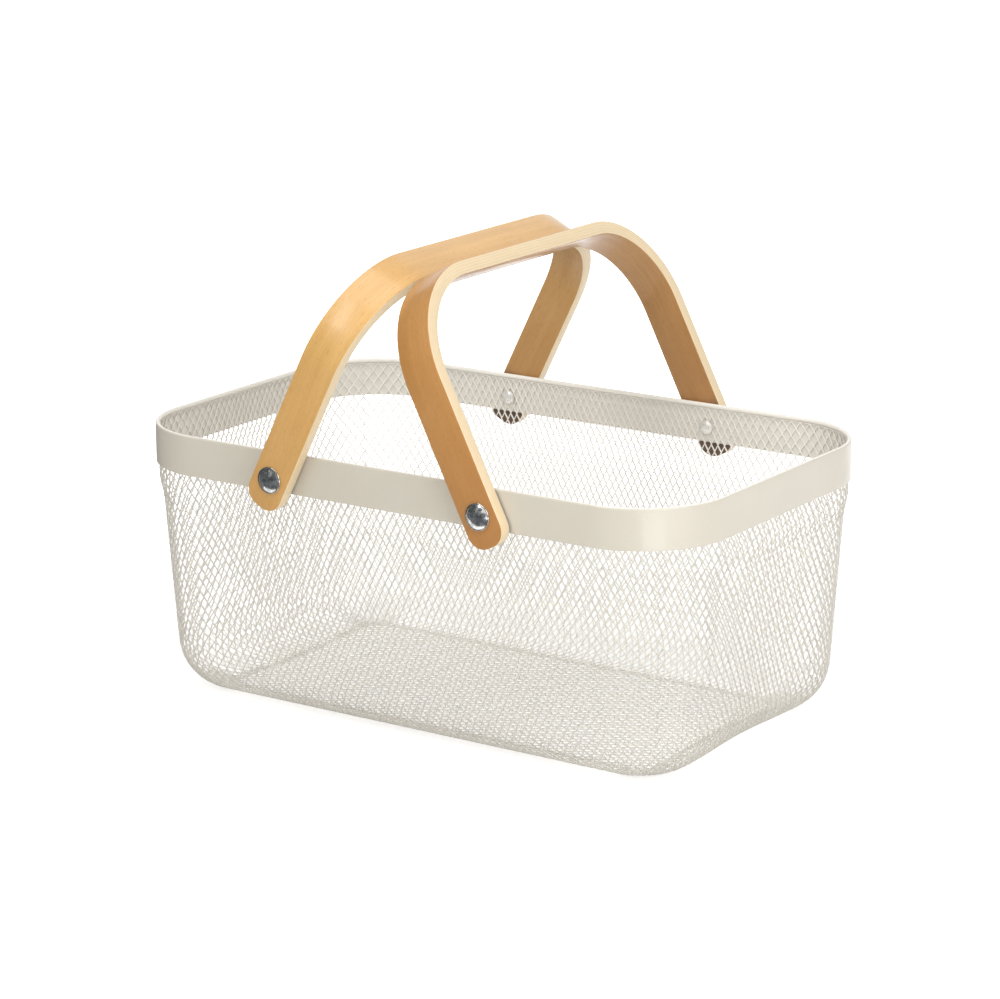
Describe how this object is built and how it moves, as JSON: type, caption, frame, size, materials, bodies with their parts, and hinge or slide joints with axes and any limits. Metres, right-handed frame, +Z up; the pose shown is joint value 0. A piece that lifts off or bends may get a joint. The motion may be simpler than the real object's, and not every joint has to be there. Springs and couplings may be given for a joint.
{
  "type": "metal fruit basket",
  "caption": "Rectangular mesh fruit basket with rounded corners, a painted steel rim band and two bentwood carrying handles that fold down outside on rivets.",
  "frame": {"origin": "middle of the flat floor that the basket stands on", "axes": "+X along the long side, towards the right handle's end; +Y to the back along the handles' pivots; +Z up"},
  "size_m": [0.36, 0.2452, 0.2596],
  "materials": {
    "band_paint": "satin",
    "mesh_paint": "satin",
    "plywood": "satin",
    "chrome": "polished",
    "pale_metal": "satin",
    "nylon": "matte"
  },
  "bodies": {
    "basket": {"rim_band": "band_paint", "mesh_body": "mesh_paint", "rivet_cap_left_front": "chrome", "rivet_cap_left_back": "chrome", "rivet_cap_right_front": "chrome", "rivet_cap_right_back": "chrome", "rivet_head_left_front": "pale_metal", "rivet_head_left_back": "pale_metal", "rivet_head_right_front": "pale_metal", "rivet_head_right_back": "pale_metal", "washer_left_front": "nylon", "washer_left_back": "nylon", "washer_right_front": "nylon", "washer_right_back": "nylon"},
    "left_handle": {"handle_left": "plywood"},
    "right_handle": {"handle_right": "plywood"}
  },
  "joints": [
    {"name": "left_handle_pivot", "type": "hinge", "parent": "basket", "child": "left_handle", "pos_m": [-0.0675, 0, 0.1402], "axis": [0, -1, 0], "range_deg": [0, 139]},
    {"name": "right_handle_pivot", "type": "hinge", "parent": "basket", "child": "right_handle", "pos_m": [0.0675, 0, 0.1402], "axis": [0, 1, 0], "range_deg": [0, 139]}
  ]
}
